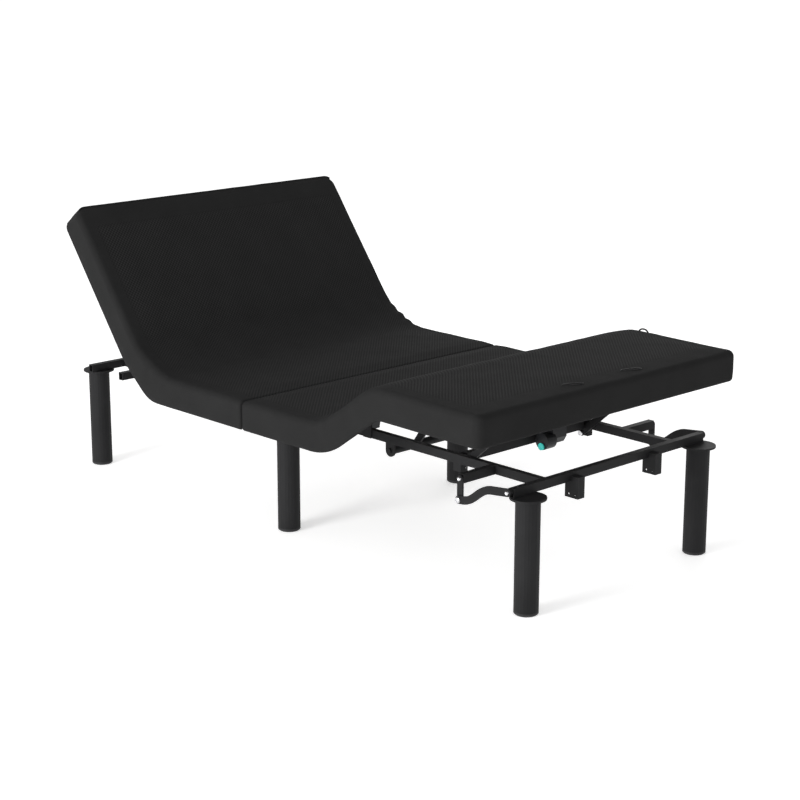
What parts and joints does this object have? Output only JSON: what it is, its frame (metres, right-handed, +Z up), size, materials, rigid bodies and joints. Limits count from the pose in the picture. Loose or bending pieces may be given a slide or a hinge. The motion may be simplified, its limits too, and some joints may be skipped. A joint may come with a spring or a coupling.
{
  "type": "adjustable bed base",
  "caption": "Low adjustable bed base: upholstered split deck with raised back and knee sections on a folding steel frame with round legs, lifted by electric actuators.",
  "frame": {"origin": "on the floor, midway between the middle legs, which is the centre of the footprint", "axes": "+X along the bed to the foot end, +Y to the left as someone lying on it sees it, +Z up"},
  "size_m": [1.826, 0.965, 0.8085],
  "materials": {
    "black_steel": "satin black powder coat with a fine grain",
    "leg_steel": "satin black powder coat on round tube",
    "retainer_wire": "black plastic-dipped wire",
    "glide_plastic": "moulded black plastic",
    "deck_fabric": "charcoal black woven upholstery with a fine rib",
    "deck_plywood": "dark stained plywood and softwood",
    "hinge_zinc": "bright zinc plate",
    "actuator_rod": "satin aluminium",
    "actuator_plastic": "black moulded plastic",
    "motor_cap": "teal moulded plastic",
    "roller_nylon": "natural nylon"
  },
  "bodies": {
    "head_frame": {"head_rail_right": "black_steel", "head_rail_left": "black_steel", "head_cross_tube": "black_steel", "head_inner_tube": "black_steel", "head_leg_right": "leg_steel", "head_leg_right_glide": "glide_plastic", "head_leg_left": "leg_steel", "head_leg_left_glide": "glide_plastic", "middle_leg_right": "leg_steel", "middle_leg_right_glide": "glide_plastic", "middle_leg_left": "leg_steel", "middle_leg_left_glide": "glide_plastic", "control_box": "actuator_plastic", "rear_seat_panel": "deck_plywood", "rear_seat_cover": "deck_fabric", "back_hinge_seat_leaf": "hinge_zinc", "fold_hinge_head_leaf": "black_steel"},
    "foot_frame": {"foot_rail_right": "black_steel", "foot_rail_left": "black_steel", "foot_cross_tube": "black_steel", "foot_inner_tube": "black_steel", "footboard_bracket_right": "black_steel", "footboard_bracket_left": "black_steel", "brace_link_right": "black_steel", "brace_link_left": "black_steel", "brace_arm_right": "black_steel", "brace_arm_left": "black_steel", "foot_leg_right": "leg_steel", "foot_leg_right_glide": "glide_plastic", "foot_leg_left": "leg_steel", "foot_leg_left_glide": "glide_plastic", "front_seat_panel": "deck_plywood", "front_seat_cover": "deck_fabric", "fold_hinge_foot_leaf": "black_steel", "thigh_hinge_seat_leaf": "hinge_zinc"},
    "back_deck": {"back_panel": "deck_plywood", "back_cover": "deck_fabric", "back_hinge_back_leaf": "hinge_zinc"},
    "back_lift_arms": {"back_lift_shaft": "black_steel", "back_roller_right": "roller_nylon", "back_roller_left": "roller_nylon"},
    "back_actuator_body": {"back_actuator": "actuator_plastic"},
    "back_actuator_rod": {"back_actuator_rod": "actuator_rod"},
    "thigh_deck": {"thigh_panel": "deck_plywood", "thigh_cover": "deck_fabric", "thigh_hinge_thigh_leaf": "hinge_zinc", "knee_hinge_thigh_leaf": "hinge_zinc"},
    "calf_deck": {"calf_panel": "deck_plywood", "calf_cover": "deck_fabric", "knee_hinge_calf_leaf": "hinge_zinc", "mattress_retainer": "retainer_wire"},
    "thigh_lift_arms": {"thigh_lift_shaft": "black_steel", "thigh_roller_right": "roller_nylon", "thigh_roller_left": "roller_nylon"},
    "calf_support": {"calf_arms": "black_steel", "calf_roller_right": "roller_nylon", "calf_roller_left": "roller_nylon"},
    "foot_actuator_body": {"foot_actuator": "actuator_plastic", "motor_cap": "motor_cap"},
    "foot_actuator_rod": {"foot_actuator_rod": "actuator_rod"}
  },
  "joints": [
    {"name": "frame_fold", "type": "hinge", "parent": "head_frame", "child": "foot_frame", "pos_m": [0, 0, 0.38], "axis": [0, -1, 0], "range_deg": [0, 90]},
    {"name": "back_lift", "type": "hinge", "parent": "head_frame", "child": "back_deck", "pos_m": [-0.416, 0, 0.366], "axis": [0, 1, 0], "range_deg": [-53, 7]},
    {"name": "back_arms_swing", "type": "hinge", "parent": "head_frame", "child": "back_lift_arms", "pos_m": [-0.416, 0, 0.27], "axis": [0, 1, 0], "range_deg": [-46, 6.5]},
    {"name": "back_actuator_tilt", "type": "hinge", "parent": "head_frame", "child": "back_actuator_body", "pos_m": [-0.088, 0, 0.262], "axis": [0, 1, 0], "range_deg": [-4, 1]},
    {"name": "back_actuator_stroke", "type": "slide", "parent": "back_actuator_body", "child": "back_actuator_rod", "axis": [-0.9911, 0, -0.1328], "range_m": [-0.05, 0.008]},
    {"name": "thigh_lift", "type": "hinge", "parent": "foot_frame", "child": "thigh_deck", "pos_m": [0.3115, 0, 0.366], "axis": [0, -1, 0], "range_deg": [-34.8, 5.2]},
    {"name": "knee", "type": "hinge", "parent": "thigh_deck", "child": "calf_deck", "pos_m": [0.49708, 0, 0.49498], "axis": [0, 1, 0], "range_deg": [-36, 6]},
    {"name": "thigh_arms_swing", "type": "hinge", "parent": "foot_frame", "child": "thigh_lift_arms", "pos_m": [0.3115, 0, 0.27], "axis": [0, -1, 0], "range_deg": [-29, 4.5]},
    {"name": "calf_arms_swing", "type": "hinge", "parent": "foot_frame", "child": "calf_support", "pos_m": [0.556, 0, 0.279], "axis": [0, -1, 0], "range_deg": [-28.5, 4.5]},
    {"name": "foot_actuator_tilt", "type": "hinge", "parent": "foot_frame", "child": "foot_actuator_body", "pos_m": [0.559, 0, 0.334], "axis": [0, -1, 0], "range_deg": [-1.5, 0.5]},
    {"name": "foot_actuator_stroke", "type": "slide", "parent": "foot_actuator_body", "child": "foot_actuator_rod", "axis": [-0.9995, 0, -0.0331], "range_m": [-0.03, 0.005]}
  ],
  "couplings": [
    {"joint": "back_arms_swing", "follows": "back_lift", "ratio": 0.85},
    {"joint": "back_actuator_tilt", "follows": "back_lift", "ratio": 0.07},
    {"joint": "back_actuator_stroke", "follows": "back_lift", "m_per_rad": 0.052},
    {"joint": "knee", "follows": "thigh_lift", "ratio": 1.0172},
    {"joint": "thigh_arms_swing", "follows": "thigh_lift", "ratio": 0.82},
    {"joint": "calf_arms_swing", "follows": "thigh_lift", "ratio": 0.807},
    {"joint": "foot_actuator_tilt", "follows": "thigh_lift", "ratio": 0.035},
    {"joint": "foot_actuator_stroke", "follows": "thigh_lift", "m_per_rad": 0.0478}
  ]
}
